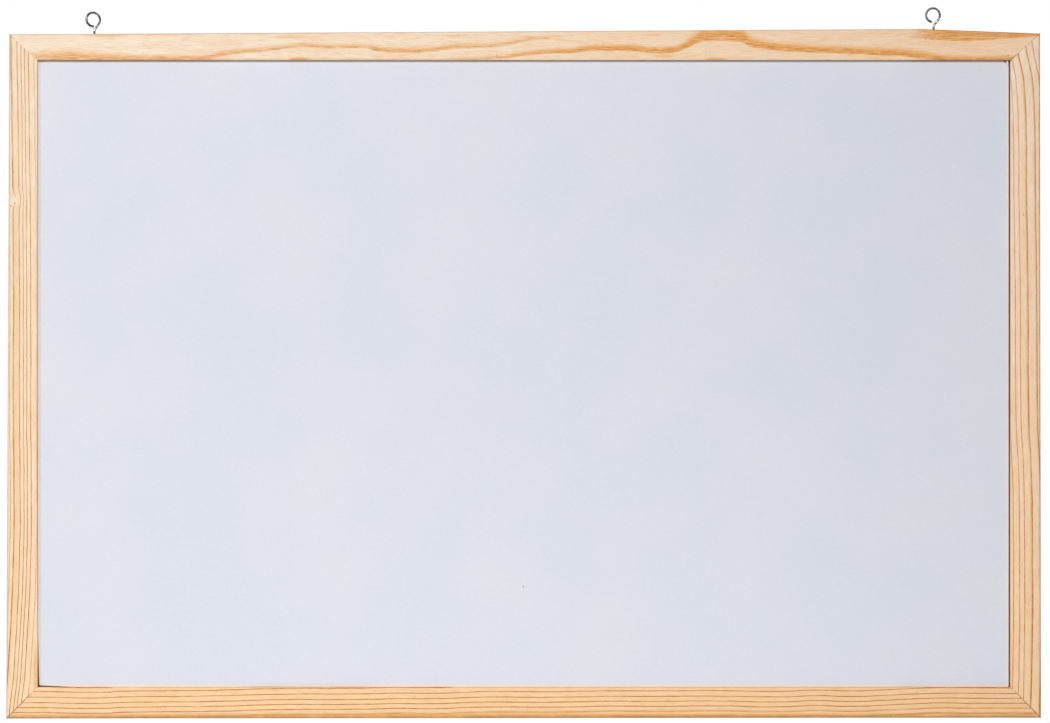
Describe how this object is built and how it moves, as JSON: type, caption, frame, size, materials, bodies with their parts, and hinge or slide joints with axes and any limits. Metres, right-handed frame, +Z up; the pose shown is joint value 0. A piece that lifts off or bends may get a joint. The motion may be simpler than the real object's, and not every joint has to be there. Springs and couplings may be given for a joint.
{
  "type": "magnetic whiteboard",
  "caption": "Magnetic whiteboard with a grooved and mitred pine frame, a white steel writing sheet on hardboard, and screw eyes in the top rail to hang it by.",
  "frame": {"origin": "on the top rail's back face, above the middle of the writing area, 12.5 mm above the rail's inner edge", "axes": "+X to the right as seen from the front, +Y towards the wall, so the writing face looks along -Y, +Z up"},
  "size_m": [0.9011, 0.015, 0.6204],
  "materials": {
    "pine": "satin",
    "white_lacquered_steel": "gloss",
    "hardboard": "matte",
    "zinc_plated_wire": "satin",
    "wedge_steel": "satin"
  },
  "bodies": {
    "root": {"top_rail": "pine", "bottom_rail": "pine", "left_rail": "pine", "right_rail": "pine", "writing_sheet": "white_lacquered_steel", "hardboard_back": "hardboard", "screw_eye_left": "zinc_plated_wire", "screw_eye_right": "zinc_plated_wire", "corner_wedge_top_left_1": "wedge_steel", "corner_wedge_top_left_2": "wedge_steel", "corner_wedge_top_right_1": "wedge_steel", "corner_wedge_top_right_2": "wedge_steel", "corner_wedge_bottom_right_1": "wedge_steel", "corner_wedge_bottom_right_2": "wedge_steel", "corner_wedge_bottom_left_1": "wedge_steel", "corner_wedge_bottom_left_2": "wedge_steel"}
  },
  "joints": []
}
